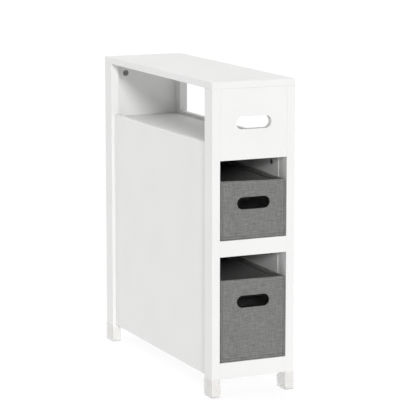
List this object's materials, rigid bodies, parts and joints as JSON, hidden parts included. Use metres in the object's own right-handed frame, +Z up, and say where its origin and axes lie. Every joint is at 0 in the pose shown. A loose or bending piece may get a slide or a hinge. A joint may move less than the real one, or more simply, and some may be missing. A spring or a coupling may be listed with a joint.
{
  "type": "bathroom storage tower",
  "caption": "Slim white storage tower with an open roll compartment under its top, a fixed front panel with a hand slot, and pull-out grey fabric baskets.",
  "frame": {"origin": "on the ground under the middle of the tower", "axes": "+Z up, the front with the baskets faces -Y, +X to the right of someone who looks at the front"},
  "size_m": [0.2032, 0.6234, 0.7],
  "materials": {
    "white_board": "satin white lacquer on fibreboard",
    "clear_cap": "clear, slightly smoky",
    "cam_metal": "die-cast, matt grey",
    "bolt_steel": "zinc plated",
    "dowel_wood": "plain beech",
    "basket_fabric": "grey plain weave over stiff board",
    "basket_lining": "grey lining over stiff board",
    "grommet_plastic": "black"
  },
  "bodies": {
    "carcass": {"top_panel": "white_board", "front_left_leg": "white_board", "front_right_leg": "white_board", "back_left_leg": "white_board", "back_right_leg": "white_board", "left_side_panel": "white_board", "right_side_panel": "white_board", "front_panel": "white_board", "back_panel": "white_board", "roll_shelf": "white_board", "middle_shelf": "white_board", "bottom_shelf": "white_board", "middle_rail": "white_board", "bottom_rail": "white_board", "front_left_foot_cap": "clear_cap", "front_right_foot_cap": "clear_cap", "back_left_foot_cap": "clear_cap", "back_right_foot_cap": "clear_cap", "panel_cams": "cam_metal", "shelf_cams": "cam_metal", "side_panel_cams": "cam_metal", "panel_cam_bolts": "bolt_steel", "shelf_cam_bolts": "bolt_steel", "side_panel_cam_bolts": "bolt_steel", "top_cam_bolts": "bolt_steel", "leg_dowels": "dowel_wood", "side_panel_dowels": "dowel_wood", "shelf_dowels": "dowel_wood", "top_dowels": "dowel_wood"},
    "upper_basket": {"upper_basket_body": "basket_fabric", "upper_basket_base_board": "basket_lining", "upper_basket_grommet": "grommet_plastic"},
    "lower_basket": {"lower_basket_body": "basket_fabric", "lower_basket_base_board": "basket_lining", "lower_basket_grommet": "grommet_plastic"}
  },
  "joints": [
    {"name": "upper_basket_slide", "type": "slide", "parent": "carcass", "child": "upper_basket", "axis": [0, -1, 0], "range_m": [0, 0.5]},
    {"name": "lower_basket_slide", "type": "slide", "parent": "carcass", "child": "lower_basket", "axis": [0, -1, 0], "range_m": [0, 0.5]}
  ]
}
